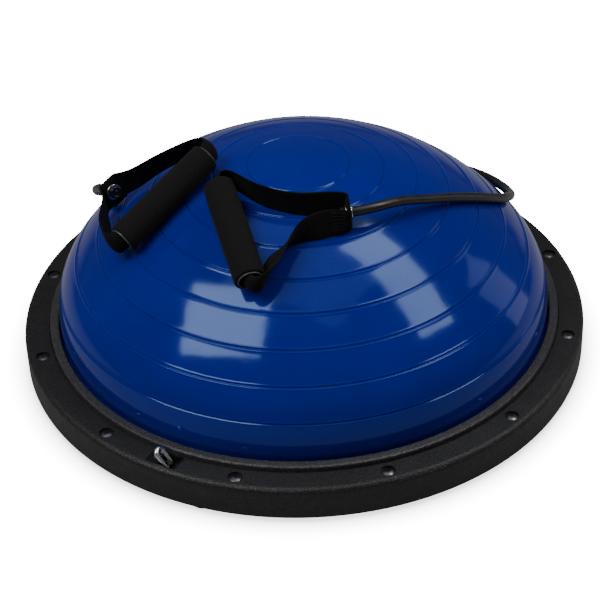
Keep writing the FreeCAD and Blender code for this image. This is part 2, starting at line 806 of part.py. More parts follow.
def pad_fittings(handle):
    """The grommet through the pad and the stop that the tube's end is held by."""
    thick = dim("strap_thickness")
    to_out = FreeCAD.Rotation(Z_AXIS, handle.out)
    at_pad = handle.placement.multiply(FreeCAD.Placement(handle.pad_middle, to_out))
    face_out = 0.5 * thick + 0.05
    face_in = -1.5 * thick - 0.05
    lap = dim("grommet_flange")
    hole_radius = dim("grommet_hole")
    barrel = dim("grommet_barrel")
    brim = dim("grommet_radius")
    turned_piece("grommet_" + handle.side, [
        (hole_radius, face_in - lap),
        (brim - 0.5, face_in - lap),
        (brim, face_in - 0.4),
        (brim, face_in),
        (barrel, face_in),
        (barrel, face_out),
        (brim, face_out),
        (brim, face_out + 0.4),
        (brim - 0.5, face_out + lap),
        (hole_radius, face_out + lap),
    ], at_pad)
    seat = face_in - lap - 0.1
    stop = dim("stop_radius")
    tail = seat - dim("stop_length")
    turned_piece("tube_stop_" + handle.side, [
        (0.0, tail),
        (0.8 * stop, tail),
        (stop, tail + 1.0),
        (stop, seat),
        (0.0, seat),
    ], at_pad)
    return at_pad.multVec(V(0, 0, seat))


def grip(handle):
    """The foam grip and the hard core tube inside it."""
    half = dim("grip_half_length")
    to_grip = FreeCAD.Rotation(Z_AXIS, V(1, 0, 0))
    along = handle.placement.multiply(FreeCAD.Placement(V(0, 0, 0), to_grip))
    core = dim("core_outer_radius")
    bore = dim("core_inner_radius")
    foam = dim("grip_radius")
    round_end = 1.5
    turned_piece("grip_foam_" + handle.side, [
        (core, -half),
        (foam - round_end, -half),
        between((foam - round_end, -half + round_end), round_end, -90, 0),
        (foam, half - round_end),
        between((foam - round_end, half - round_end), round_end, 0, 90),
        (core, half),
    ], along)
    rim = half + dim("core_rim")
    turned_piece("grip_core_" + handle.side, [
        (bore, -rim),
        (core, -rim),
        (core, rim),
        (bore, rim),
    ], along)


tube_ends = {}
for handle in (RIGHT, LEFT):
    strap(handle)
    tube_ends[handle.side] = pad_fittings(handle)
    grip(handle)

# ----------------------------------------------------------- resistance tube
# One loose elastic tube: out of the right handle's pad, down the dome's right
# flank, round the back in the corner between dome and lip, and up the left
# flank to the other handle. Points chosen by hand.

ROUTE = [
    (106.8, -49.6, 222.8), (123, -19, 219), (136, 11, 206.5), (148, 43, 193), (159, 76, 177.5),
    (168, 108, 160), (172, 142, 141), (165, 177, 122), (142, 208, 108), (107, 235, 98),
    (65, 255, 86), (18, 266, 72), (-32, 268, 58), (-84, 255.5, 52), (-132, 234, 52),
    (-175, 204, 52), (-215, 163, 54), (-245, 113, 62), (-262, 60, 76), (-259, 16, 101),
    (-243, -20, 127), (-223, -49, 153), (-199, -69, 173.5),
]


def tube_path(points):
    """Straight runs joined by tangent arcs, each arc as large as its two runs allow."""
    share = 0.45
    edges = []
    radii = []
    here = points[0]
    for index in range(1, len(points) - 1):
        before, corner, after = points[index - 1:index + 2]
        way_in = (corner - before).normalize()
        way_out = (after - corner).normalize()
        half_turn = 0.5 * way_in.getAngle(way_out)
        shorter = min((corner - before).Length, (after - corner).Length)
        radius = share * shorter / math.tan(half_turn)
        start = corner - way_in * (share * shorter)
        end = corner + way_out * (share * shorter)
        to_centre = (way_out - way_in).normalize()
        centre = corner + to_centre * (radius / math.cos(half_turn))
        middle = centre - to_centre * radius
        edges.append(Part.LineSegment(here, start).toShape())
        edges.append(Part.Arc(start, middle, end).toShape())
        radii.append(radius)
        here = end
    edges.append(Part.LineSegment(here, points[-1]).toShape())
    return Part.Wire(edges), radii


route = [tube_ends["right"]] + [V(*point) for point in ROUTE] + [tube_ends["left"]]
path, radii = tube_path(route)
first_way = (route[1] - route[0]).normalize()
ring = Part.Wire(Part.Circle(route[0], first_way, dim("tube_radius")).toShape())
tube = doc.addObject("Part::Feature", "resistance_tube")
tube.Label = "resistance_tube"
tube.Shape = path.makePipeShell([ring], True, False)
NODES.append(tube)
expected = path.Length * math.pi * dim("tube_radius") ** 2
print("tube length %.1f mm" % path.Length)
print("tube bend radii", [round(radius) for radius in radii])
print("tube volume over section times length %.4f" % (tube.Shape.Volume / expected))

# --------------------------------------------------------- checks and export

doc.recompute()
for item in doc.Objects:
    if "Invalid" in item.State or "Error" in item.State:
        raise RuntimeError("%s failed: %s" % (item.Label, item.State))
for node in NODES:
    shape = node.Shape
    if shape.isNull() or not shape.isValid() or not shape.Solids:
        raise RuntimeError("%s has no valid solid" % node.Label)
for node in NODES:
    node.Shape.exportStep("parts/%s.step" % node.Label)
    box = node.Shape.BoundBox
    print("%-20s solids %2d volume %10.0f  z %6.1f to %6.1f" % (
        node.Label, len(node.Shape.Solids), node.Shape.Volume, box.ZMin, box.ZMax))
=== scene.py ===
# %% [markdown]
# # Balance dome trainer
# A round moulded platform carries a glossy, air-filled half-ball. A ring screwed to
# the platform clamps the ball's rim, two wire links swing in the ring, and an elastic
# tube with a stirrup handle at each end lies over and round the ball.
#
# The CAD model is the skeleton: it fixes every size, every place and every joint. This
# file puts the looks on it. Some CAD pieces only get a finish; those whose beauty is in
# a smooth curve or in cloth are made again as surfaces worked out with numpy.

# %% The skeleton
import math

import bmesh
import bpy
import numpy as np
from mathutils import Matrix, Vector


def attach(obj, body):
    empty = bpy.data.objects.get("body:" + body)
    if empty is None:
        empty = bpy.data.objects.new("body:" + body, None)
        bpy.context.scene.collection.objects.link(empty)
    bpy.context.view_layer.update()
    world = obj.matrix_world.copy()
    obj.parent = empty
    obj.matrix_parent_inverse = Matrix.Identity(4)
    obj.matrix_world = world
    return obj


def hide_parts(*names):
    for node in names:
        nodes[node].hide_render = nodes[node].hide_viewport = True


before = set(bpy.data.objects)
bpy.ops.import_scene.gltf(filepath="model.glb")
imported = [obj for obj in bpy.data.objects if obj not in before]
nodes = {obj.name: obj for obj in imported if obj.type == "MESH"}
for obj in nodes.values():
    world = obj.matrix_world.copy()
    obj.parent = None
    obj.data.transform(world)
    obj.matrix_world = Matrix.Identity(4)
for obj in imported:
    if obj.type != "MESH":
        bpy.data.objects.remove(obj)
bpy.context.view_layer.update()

# %% [markdown]
# ## The camera
# The trainer is seen from a little above, turned so that one wire link faces the
# viewer. A camera needs a place, a direction and a roll about its own line of sight.
# The place is given here as an angle round the object, a height angle and a distance,
# because those are easy to picture and to change. A long lens far away keeps the
# round rim close to an ellipse.

# %% Camera
def make_camera(azimuth, elevation, distance, lens, roll, aim_right, aim_up):
    """A camera at an angle round +Z from the front, looking at a point near the
    origin that is moved a little to the view's right and up."""
    a, e, r = (math.radians(v) for v in (azimuth, elevation, roll))
    back = Vector((math.sin(a) * math.cos(e), -math.cos(a) * math.cos(e), math.sin(e)))
    right = Vector((math.cos(a), math.sin(a), 0))
    up = back.cross(right)
    target = right * aim_right + up * aim_up
    place = back * distance
    look = (place - target).normalized()
    side = up.cross(look).normalized()
    top = look.cross(side)
    side, top = side * math.cos(r) - top * math.sin(r), top * math.cos(r) + side * math.sin(r)
    data = bpy.data.cameras.new("camera")
    data.lens = lens
    data.clip_end = 50
    camera = bpy.data.objects.new("camera", data)
    turn = Matrix((side, top, look)).transposed().to_4x4()
    camera.matrix_world = Matrix.Translation(place) @ turn
    bpy.context.scene.collection.objects.link(camera)
    bpy.context.scene.camera = camera
    return camera


camera = make_camera(
    azimuth=29.65, elevation=37.4, distance=2.031, lens=111.5, roll=2.17,
    aim_right=-0.0036, aim_up=0.0359,
)
print("camera at", [round(v, 3) for v in camera.matrix_world.translation])

# %% [markdown]
# ## Finishes: shared effects
# The black plastic, the vinyl, the foam and the cloth differ, but they share a few
# effects: a fine moulded grain, dust that settles on faces that look up, and a wear that
# breaks an even gloss. Each effect is a node group with named inputs, made once and
# placed in every material with its own values. A group only puts out masks and
# heights; the shader itself stays in the material.

# %% Node helpers
def new_material(name):
    """A material with an empty node tree, a Principled shader and its output."""
    material = bpy.data.materials.new(name)
    material.use_nodes = True
    tree = material.node_tree
    tree.nodes.clear()
    output = tree.nodes.new("ShaderNodeOutputMaterial")
    shader = tree.nodes.new("ShaderNodeBsdfPrincipled")
    tree.links.new(shader.outputs[0], output.inputs[0])
    return material, tree, shader


def node(tree, kind, **values):
    """A node with its settings and inputs filled in by name. A linked input is given
    as another node's output socket."""
    made = tree.nodes.new("ShaderNode" + kind)
    for key, value in values.items():
        if hasattr(made, key) and key not in made.inputs:
            setattr(made, key, value)
            continue
        socket = made.inputs[int(key[1:])] if key[0] == "_" else made.inputs[key.replace("_", " ")]
        if isinstance(value, bpy.types.NodeSocket):
            tree.links.new(value, socket)
        else:
            socket.default_value = value
    return made


def maths(tree, operation, first, second=0.5, third=0.0):
    """One step of arithmetic on sockets or numbers."""
    return node(tree, "Math", operation=operation, _0=first, _1=second, _2=third).outputs[0]


def blend_colours(tree, amount, first, second):
    """Mix from the first colour to the second as amount goes from 0 to 1."""
    made = tree.nodes.new("ShaderNodeMix")
    made.data_type = "RGBA"
    for socket, value in ((made.inputs[0], amount), (made.inputs[6], first), (made.inputs[7], second)):
        if isinstance(value, bpy.types.NodeSocket):
            tree.links.new(value, socket)
        else:
            socket.default_value = value if isinstance(value, float) else (*value, 1)
    return made.outputs[2]


def remap(tree, value, low, high, to_low, to_high):
    """A value's range stretched to another range, clamped."""
    return node(tree, "MapRange", Value=value, From_Min=low, From_Max=high, To_Min=to_low,
                To_Max=to_high).outputs[0]


def new_group(name, inputs, outputs):
    """An empty node group whose sockets are named in the two dicts."""
    group = bpy.data.node_groups.new(name, "ShaderNodeTree")
    for key, value in inputs.items():
        kind = "NodeSocketVector" if value is None else "NodeSocketFloat"
        socket = group.interface.new_socket(key, in_out="INPUT", socket_type=kind)
        if value is not None:
            socket.default_value = value
    for key in outputs:
        group.interface.new_socket(key, in_out="OUTPUT", socket_type="NodeSocketFloat")
    return group, group.nodes.new("NodeGroupInput"), group.nodes.new("NodeGroupOutput")


def use_group(tree, group, **values):
    """A group placed in a material, with its inputs filled in by name."""
    made = tree.nodes.new("ShaderNodeGroup")
    made.node_tree = group
    for key, value in values.items():
        socket = made.inputs[key]
        if isinstance(value, bpy.types.NodeSocket):
            tree.links.new(value, socket)
        else:
            socket.default_value = value
    return made


# %% Shared effects
def make_grain():
    """Spark-eroded mould grain: small cells whose size is uneven, softened by noise."""
    group, given, result = new_group("moulded_grain", {"Place": None, "Per metre": 900.0}, ["Height"])
    cells = node(group, "TexVoronoi", Vector=given.outputs["Place"], Scale=given.outputs["Per metre"])
    finer = maths(group, "MULTIPLY", given.outputs["Per metre"], 1.9)
    noise = node(group, "TexNoise", Vector=given.outputs["Place"], Scale=finer, Detail=2.0)
    soft = maths(group, "MULTIPLY", noise.outputs[0], 0.6)
    group.links.new(maths(group, "ADD", cells.outputs["Distance"], soft), result.inputs["Height"])
    return group


def make_dust():
    """Dust mask: faces that look up, broken into patches by two noises."""
    group, given, result = new_group("settled_dust", {"Place": None, "Amount": 0.3}, ["Mask"])
    facing = node(group, "NewGeometry").outputs["Normal"]
    upward = node(group, "SeparateXYZ", Vector=facing).outputs[2]
    level = remap(group, upward, 0.2, 1.0, 0.0, 1.0)
    patches = node(group, "TexNoise", Vector=given.outputs["Place"], Scale=22.0, Detail=4.0)
    specks = node(group, "TexNoise", Vector=given.outputs["Place"], Scale=650.0, Detail=2.0)
    broad = remap(group, patches.outputs[0], 0.4, 0.7, 0.15, 1.0)
    fine = remap(group, specks.outputs[0], 0.52, 0.68, 0.1, 1.0)
    mask = maths(group, "MULTIPLY", maths(group, "MULTIPLY", broad, fine), level)
    group.links.new(maths(group, "MULTIPLY", mask, given.outputs["Amount"]), result.inputs["Mask"])
    return group


def make_wear():
    """Handling marks: thin stretched streaks that change the gloss a little."""
    group, given, result = new_group("handling_marks", {"Place": None, "Per metre": 40.0}, ["Mask"])
    stretched = node(group, "Mapping", Vector=given.outputs["Place"], Scale=(1.0, 6.0, 2.5),
                     Rotation=(0.4, 0.9, 0.5))
    streaks = node(group, "TexNoise", Vector=stretched.outputs[0], Scale=given.outputs["Per metre"],
                   Detail=5.0, Roughness=0.65)
    group.links.new(remap(group, streaks.outputs[0], 0.5, 0.75, 0.0, 1.0), result.inputs["Mask"])
    return group


GRAIN, DUST, WEAR = make_grain(), make_dust(), make_wear()
print("shared effects:", [g.name for g in (GRAIN, DUST, WEAR)])

# %% [markdown]
# ## Finishes: the plastics and the vinyl
# The ball is soft vinyl with a very high gloss: what shows is a deep blue, plus clear
# reflections that waver a little because blown vinyl is never quite even. The platform
# is black polypropylene with a fine grain that spreads each highlight. Grain size
# is given per metre, so it keeps its real scale.

# %% Plastics
def object_place(tree):
    """The object coordinate that every pattern on a solid reads."""
    return node(tree, "TexCoord").outputs["Object"]


def bump(tree, shader, height, distance):
    """A height in 0 to 1 that stands for a relief of that many metres."""
    made = node(tree, "Bump", Height=height, Distance=distance)
    tree.links.new(made.outputs[0], shader.inputs["Normal"])


def moulded_plastic(name, colour, rough, grain_per_metre=900.0, relief=0.00006, dusty=0.1,
                    gloss=0.5, painted_glint=0.0):
    """Grained plastic: two close shades, uneven gloss, settled dust and, where painted_glint
    is above 0, paler flecks painted on the tops of the grain: painted highlights."""
    material, tree, shader = new_material(name)
    place = object_place(tree)
    marks = use_group(tree, WEAR, Place=place).outputs[0]
    dust = use_group(tree, DUST, Place=place, Amount=dusty).outputs[0]
    lighter = [1.5 * c + 0.004 for c in colour]
    shade = blend_colours(tree, marks, colour, lighter)
    shade = blend_colours(tree, dust, shade, (0.16, 0.16, 0.165))
    grain = use_group(tree, GRAIN, Place=place)
    grain.inputs["Per metre"].default_value = grain_per_metre
    # Paler flecks on the tops of the grain stand for the light the grain catches: painted highlights.
    if painted_glint:
        painted_glint_mask = remap(tree, grain.outputs[0], 0.62, 0.95, 0.0, painted_glint)
        shade = blend_colours(tree, painted_glint_mask, shade, (0.09, 0.09, 0.095))
    shader.inputs["Specular IOR Level"].default_value = gloss
    tree.links.new(shade, shader.inputs["Base Color"])
    tree.links.new(remap(tree, marks, 0.0, 1.0, rough, rough - 0.08), shader.inputs["Roughness"])
    bump(tree, shader, grain.outputs[0], relief)
    return material


def glossy_vinyl(name, colour):
    """Soft vinyl: deep glossy blue, gentle ripples, a few dull streaks and dust."""
    material, tree, shader = new_material(name)
    place = object_place(tree)
    cloudy = node(tree, "TexNoise", Vector=place, Scale=9.0, Detail=3.0).outputs[0]
    amount = remap(tree, cloudy, 0.35, 0.65, 0.0, 1.0)
    darker = [0.86 * c for c in colour]
    shade = blend_colours(tree, amount, darker, colour)
    dust = use_group(tree, DUST, Place=place, Amount=0.03).outputs[0]
    shade = blend_colours(tree, dust, shade, (0.35, 0.4, 0.5))
    tree.links.new(shade, shader.inputs["Base Color"])
    marks = use_group(tree, WEAR, Place=place).outputs[0]
    rough = maths(tree, "ADD", remap(tree, marks, 0.0, 1.0, 0.1, 0.15), dust)
    tree.links.new(rough, shader.inputs["Roughness"])
    shader.inputs["IOR"].default_value = 1.5
    shader.inputs["Specular Tint"].default_value = (0.45, 0.68, 1.0, 1)
    ripple = node(tree, "TexNoise", Vector=place, Scale=34.0, Detail=1.0).outputs[0]
    skin = node(tree, "TexNoise", Vector=place, Scale=700.0, Detail=2.0).outputs[0]
    height = maths(tree, "ADD", ripple, maths(tree, "MULTIPLY", skin, 0.012))
    bump(tree, shader, height, 0.00018)
    return material


VINYL = glossy_vinyl("deep blue vinyl", (0.0002, 0.009, 0.24))
COARSE_GRAIN = dict(grain_per_metre=560.0, relief=0.00034)
PLATFORM = moulded_plastic("black platform moulding", (0.0095, 0.0095, 0.0102), 0.5, gloss=0.34,
                           painted_glint=0.12, **COARSE_GRAIN)
FLANGE = moulded_plastic("black ring moulding", (0.006, 0.006, 0.0067), 0.44, gloss=0.34,
                         painted_glint=0.12, **COARSE_GRAIN)
# The lip is painted paler and more flecked than the ring beside it: a painted highlight along the ball's
# foot.
LIP = moulded_plastic("lip moulding with painted highlight", (0.022, 0.022, 0.024), 0.44, gloss=0.45, painted_glint=0.4,
                      **COARSE_GRAIN)
SADDLE = moulded_plastic("black saddle moulding", (0.004, 0.004, 0.0045), 0.4, gloss=0.3, relief=0.00003)
CORE = moulded_plastic("grey core plastic", (0.07, 0.07, 0.074), 0.4, relief=0.00002, dusty=0.0)
STOP = moulded_plastic("black plug plastic", (0.005, 0.005, 0.005), 0.3, gloss=0.4, relief=0.00002)
RUBBER = moulded_plastic("matt foot rubber", (0.006, 0.006, 0.006), 0.8, 1500.0, gloss=0.2, dusty=0.3)
print("plastics:", [m.name for m in (VINYL, PLATFORM, FLANGE, LIP, SADDLE, CORE, STOP, RUBBER)])

# %% [markdown]
# ## Finishes: metal, foam, tube and cloth
# The wire links and grommets are plated steel: a metal with a bright colour, a low
# roughness and fine rub marks. Foam is full of open cells, so its relief is deep and
# its gloss is nearly nothing. The webbing is woven from thick yarns: its pattern follows
# the cloth's own length and width, so it reads the UV map, which holds metres.

# %% Metal, foam, tube and cloth
def plated_steel(name, colour, rough):
    """Bright plating with rub marks that dull it in places."""
    material, tree, shader = new_material(name)
    place = object_place(tree)
    marks = use_group(tree, WEAR, Place=place).outputs[0]
    scuffs = node(tree, "TexNoise", Vector=place, Scale=900.0, Detail=3.0).outputs[0]
    tree.links.new(blend_colours(tree, marks, colour, [0.8 * c for c in colour]), shader.inputs["Base Color"])
    rough_map = maths(tree, "ADD", remap(tree, marks, 0.0, 1.0, rough, rough + 0.12),
                      remap(tree, scuffs, 0.4, 0.7, 0.0, 0.04))
    tree.links.new(rough_map, shader.inputs["Roughness"])
    shader.inputs["Metallic"].default_value = 1.0
    bump(tree, shader, scuffs, 0.00001)
    return material


def closed_cell_foam(name, colour):
    """Foam: open pores of two sizes over a soft matt body; the pores are painted darker, a painted shade."""
    material, tree, shader = new_material(name)
    place = object_place(tree)
    pores = node(tree, "TexVoronoi", Vector=place, Scale=1100.0).outputs["Distance"]
    lumps = node(tree, "TexNoise", Vector=place, Scale=420.0, Detail=4.0).outputs[0]
    hollow = remap(tree, pores, 0.05, 0.55, 0.0, 1.0)
    # Colour darkens towards the middle of each pore: painted shade in the hollows, beside their bump.
    shade = blend_colours(tree, hollow, [0.4 * c for c in colour], colour)
    tree.links.new(shade, shader.inputs["Base Color"])
    shader.inputs["Roughness"].default_value = 0.92
    shader.inputs["Specular IOR Level"].default_value = 0.15
    shader.inputs["Sheen Weight"].default_value = 0.02
    shader.inputs["Sheen Roughness"].default_value = 0.5
    height = maths(tree, "ADD", hollow, lumps)
    bump(tree, shader, height, 0.00022)
    return material


def elastic_tube(name, colour):
    """Extruded latex: satin, a little bloom, faint lumps."""
    material, tree, shader = new_material(name)
    place = object_place(tree)
    bloom = node(tree, "TexNoise", Vector=place, Scale=60.0, Detail=4.0).outputs[0]
    amount = remap(tree, bloom, 0.4, 0.7, 0.0, 1.0)
    shade = blend_colours(tree, amount, colour, [1.8 * c for c in colour])
    tree.links.new(shade, shader.inputs["Base Color"])
    tree.links.new(remap(tree, amount, 0.0, 1.0, 0.3, 0.42), shader.inputs["Roughness"])
    skin = node(tree, "TexNoise", Vector=place, Scale=500.0, Detail=2.0).outputs[0]
    bump(tree, shader, skin, 0.00004)
    return material


def woven_webbing(name, colour, across_per_metre=620.0, along_per_metre=430.0):
    """Webbing: warp ribs along the band crossed by weft, one over one, from the UV map. The dips between
    yarns are painted darker and the tops paler: painted shade and painted highlight.
    """
    material, tree, shader = new_material(name)
    place = node(tree, "UVMap", uv_map="cloth").outputs[0]
    parts = node(tree, "SeparateXYZ", Vector=place)
    along = maths(tree, "MULTIPLY", parts.outputs[0], along_per_metre * math.pi)
    across = maths(tree, "MULTIPLY", parts.outputs[1], across_per_metre * math.pi)
    warp = maths(tree, "ABSOLUTE", maths(tree, "SINE", across))
    weft = maths(tree, "SINE", along)
    shifted = maths(tree, "MULTIPLY", weft, maths(tree, "SIGN", maths(tree, "SINE", across)))
    over = remap(tree, shifted, -1.0, 1.0, 0.2, 1.0)
    yarn = maths(tree, "MULTIPLY", warp, over)
    hairs = node(tree, "TexNoise", Vector=object_place(tree), Scale=1800.0, Detail=3.0).outputs[0]
    height = maths(tree, "ADD", yarn, maths(tree, "MULTIPLY", hairs, 0.35))
    # The colour follows the yarn's height, darker in the dips and paler on the tops: painted shade and
    # painted highlight.
    tree.links.new(blend_colours(tree, yarn, [0.45 * c for c in colour], [1.3 * c for c in colour]),
                   shader.inputs["Base Color"])
    tree.links.new(remap(tree, yarn, 0.0, 1.0, 0.9, 0.68), shader.inputs["Roughness"])
    shader.inputs["Specular IOR Level"].default_value = 0.15
    shader.inputs["Sheen Weight"].default_value = 0.02
    shader.inputs["Sheen Roughness"].default_value = 0.4
    bump(tree, shader, height, 0.0003)
    return material


CHROME = plated_steel("bright plating", (0.88, 0.88, 0.9), 0.2)
SCREW = plated_steel("blacked steel", (0.16, 0.16, 0.17), 0.3)
FOAM = closed_cell_foam("black foam", (0.0075, 0.0072, 0.007))
TUBE = elastic_tube("grey black latex", (0.008, 0.008, 0.009))
WEBBING = woven_webbing("black webbing", (0.005, 0.005, 0.0052))
THREAD = moulded_plastic("black thread", (0.02, 0.02, 0.02), 0.6, 2500.0, dusty=0.0, gloss=0.2)
print("soft finishes:", [m.name for m in (CHROME, SCREW, FOAM, TUBE, WEBBING, THREAD)])

# %% [markdown]
# ## Surfaces from arrays
# Three tools make every new piece. A grid of points becomes a mesh; a profile turned
# about Z becomes a round piece; a section carried along a path becomes a wire or
# a strap. All of them are whole-array sums, so a thousand points cost one line.

# %% Surface tools
def mesh_from_grid(name, grid, wrap_rows, wrap_columns, uv=None):
    """A grid of points, rows by columns, joined by four-sided faces. wrap joins the
    last row or column to the first. Points that coincide are merged, so poles close."""
    rows, columns = grid.shape[:2]
    index = np.arange(rows * columns).reshape(rows, columns)
    down = np.roll(index, -1, 0) if wrap_rows else index[1:]
    here = index if wrap_rows else index[:-1]
    faces = np.stack([here, np.roll(here, -1, 1), np.roll(down, -1, 1), down], -1)
    if not wrap_columns:
        faces = faces[:, :-1]
    faces = faces.reshape(-1, 4)
    mesh = bpy.data.meshes.new(name)
    mesh.from_pydata(grid.reshape(-1, 3).tolist(), [], faces.tolist())
    if uv is not None:
        layer = mesh.uv_layers.new(name="cloth")
        layer.data.foreach_set("uv", uv.reshape(-1, 2)[faces.reshape(-1)].ravel())
    tidy = bmesh.new()
    tidy.from_mesh(mesh)
    bmesh.ops.remove_doubles(tidy, verts=tidy.verts, dist=1e-7)
    bmesh.ops.recalc_face_normals(tidy, faces=tidy.faces)
    tidy.to_mesh(mesh)
    tidy.free()
    mesh.shade_smooth()
    return mesh


def piece(name, mesh, material, body, stands_for=()):
    """A mesh as one piece of the trainer: its finish, the body it rides on, and the
    CAD nodes that it stands for."""
    made = bpy.data.objects.new(name, mesh)
    bpy.context.scene.collection.objects.link(made)
    mesh.materials.append(material)
    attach(made, body)
    if stands_for:
        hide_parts(*stands_for)
    print(name, len(mesh.polygons), "faces")
    return made


def turned(name, profile, segments, place=Matrix.Identity(4)):
    """A closed profile of radius and height, turned about Z: x is radius times the
    cosine of the angle, y radius times the sine. The place is put into the points."""
    profile = np.asarray(profile, float)
    angle = np.linspace(0, 2 * np.pi, segments, endpoint=False)
    radius = np.maximum(profile[:, :1], 0)
    grid = np.stack([
        radius * np.cos(angle), radius * np.sin(angle), np.repeat(profile[:, 1:], segments, 1)
    ], -1)
    m = np.array(place)
    grid = grid @ m[:3, :3].T + m[:3, 3]
    return mesh_from_grid(name, grid, True, True)


def arc(centre, radius, start, end, count):
    """Points on an arc, angles in degrees from the first axis."""
    angle = np.radians(np.linspace(start, end, count))
    return [(centre[0] + radius * math.cos(a), centre[1] + radius * math.sin(a)) for a in angle]


def smooth_loop(points, count):
    """A closed cubic B-spline through the neighbourhood of each control row: four rows
    at a time are weighted by the cubic basis, so every column of numbers is smoothed."""
    points = np.asarray(points, float)
    t = np.linspace(0, len(points), count, endpoint=False)
    first = np.floor(t).astype(int)
    u = (t - first)[:, None]
    rows = [points[(first + k) % len(points)] for k in (-1, 0, 1, 2)]
    weights = [(1 - u) ** 3, 3 * u ** 3 - 6 * u ** 2 + 4, -3 * u ** 3 + 3 * u ** 2 + 3 * u + 1, u ** 3]
    return sum(w * r for w, r in zip(weights, rows)) / 6


print("surface tools ready")

# %% [markdown]
# ## The elastic tube
# One piece of latex tube, a little over a metre long, leaves the right handle, runs down
# the ball's flank, round behind it in the corner between ball and lip, and comes up to
# the left handle. A smooth spline with a round bevel is the natural tool: its control
# points are few, and the bend between them is always soft, as a tube's is.

# %% Tube
TUBE_WAY = [
    (0.0881, -0.0644, 0.2211),
    (0.1068, -0.0496, 0.2228), (0.123, -0.019, 0.219), (0.136, 0.011, 0.2065),
    (0.148, 0.043, 0.193), (0.159, 0.076, 0.1775), (0.168, 0.108, 0.160),
    (0.172, 0.142, 0.141), (0.165, 0.177, 0.122), (0.142, 0.208, 0.108),
    (0.107, 0.235, 0.098), (0.065, 0.255, 0.086), (0.018, 0.266, 0.072),
    (-0.032, 0.268, 0.058), (-0.084, 0.2555, 0.052), (-0.132, 0.234, 0.052),
    (-0.175, 0.204, 0.052), (-0.215, 0.163, 0.054), (-0.245, 0.113, 0.062),
    (-0.262, 0.060, 0.076), (-0.259, 0.016, 0.101), (-0.243, -0.020, 0.127),
    (-0.223, -0.049, 0.153), (-0.199, -0.069, 0.1735),
    (-0.1756, -0.0804, 0.1809),
]
TUBE_DIAMETER = 0.010


def tube_along(name, points, diameter):
    """A second-order spline that starts and ends on its first and last point, with a
    round section."""
    curve = bpy.data.curves.new(name, "CURVE")
    curve.dimensions = "3D"
    spline = curve.splines.new("NURBS")
    spline.points.add(len(points) - 1)
    for point, place in zip(spline.points, points):
        point.co = (*place, 1)
    spline.order_u = 3
    spline.use_endpoint_u = True
    spline.resolution_u = 12
    curve.bevel_depth = 0.5 * diameter
    curve.bevel_resolution = 5
    curve.use_fill_caps = True
    made = bpy.data.objects.new(name, curve)
    bpy.context.scene.collection.objects.link(made)
    made.data.materials.append(TUBE)
    return made


tube = tube_along("elastic_tube", TUBE_WAY, TUBE_DIAMETER)
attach(tube, "band")
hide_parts("resistance_tube")
print("tube control points:", len(TUBE_WAY))

# %% [markdown]
# ## The ball's skin
# The ball is vinyl blown into a mould, so its skin is a body of revolution: a flat
# crown that runs into a tighter shoulder and tucks in at the rim. Eight fine grooves
# ring it for grip. A profile turned about Z gives this with an even grid; the rings
# of points stand close together only at the grooves, where the surface turns quickly.

# %% Skin of the ball
CROWN, SHOULDER, WALL = 0.315, 0.084, 0.003
CROWN_TOP = 0.223
CROWN_ANGLE, TUCK_ANGLE = math.radians(50), math.radians(99)
GROOVE_PITCH = 0.0359
GROOVES = 0.0535 + GROOVE_PITCH * np.arange(8)


def skin_profile():
    """The outline at each arc length from the top: a circle of the crown's radius, then
    one of the shoulder's, pushed out or in along its own normal. Each groove pushes in
    as a bell curve with a soft rim on both sides; between grooves the skin swells."""
    bend = CROWN * CROWN_ANGLE
    end = bend + SHOULDER * (TUCK_ANGLE - CROWN_ANGLE)
    fine = (GROOVES[:, None] + np.linspace(-0.0032, 0.0032, 15)).ravel()
    along = np.unique(np.concatenate([np.linspace(0, end, 120), fine]))
    along = along[(along >= 0) & (along <= end)]
    angle = np.where(along < bend, along / CROWN, CROWN_ANGLE + (along - bend) / SHOULDER)
    radius = np.where(along < bend, CROWN, SHOULDER)
    centre_r = np.where(along < bend, 0, (CROWN - SHOULDER) * math.sin(CROWN_ANGLE))
    centre_z = CROWN_TOP - CROWN + np.where(along < bend, 0, (CROWN - SHOULDER) * math.cos(CROWN_ANGLE))
    away = np.abs(along[:, None] - GROOVES).min(1)
    dip = 0.0009 * np.exp(-(away / 0.00075) ** 2)
    rim = 0.00028 * np.exp(-((away - 0.0019) / 0.0007) ** 2)
    between = (along > GROOVES[0]) & (along < GROOVES[-1])
    swell = np.where(between, 0.00004 * (1 - np.cos(np.pi * away / (0.5 * GROOVE_PITCH))), 0)
    lift = rim - dip + swell
    r = centre_r + (radius + lift) * np.sin(angle)
    z = centre_z + (radius + lift) * np.cos(angle)
    return np.stack([r, z], -1), np.stack([np.sin(angle), np.cos(angle)], -1)


outside, outward = skin_profile()
outside[0, 0] = 0
inside = (outside - WALL * outward)[::-6]
inside[-1] = (0, outside[0, 1] - WALL)
BEAD_TOP, BEAD_FOOT, BEAD_RADIUS, BEAD_INNER = 0.037, 0.033, 0.269, 0.2525
bead = [
    (outside[-1, 0] + 0.0006, BEAD_TOP), (BEAD_RADIUS, BEAD_TOP), (BEAD_RADIUS, BEAD_FOOT),
    (BEAD_INNER, BEAD_FOOT),
]
skin = turned("ball_skin", np.concatenate([outside, bead, inside]), 288)
piece("ball_skin", skin, VINYL, "base", ["dome_shell"])
print("rings in the skin:", len(outside))

# %% [markdown]
# ## The wire links
# Each link is one closed loop of round wire: a straight pivot bar, two legs and
# a round end. The path is flat, so the wire's round section only needs the path's
# own sideways direction and the direction square to its plane.

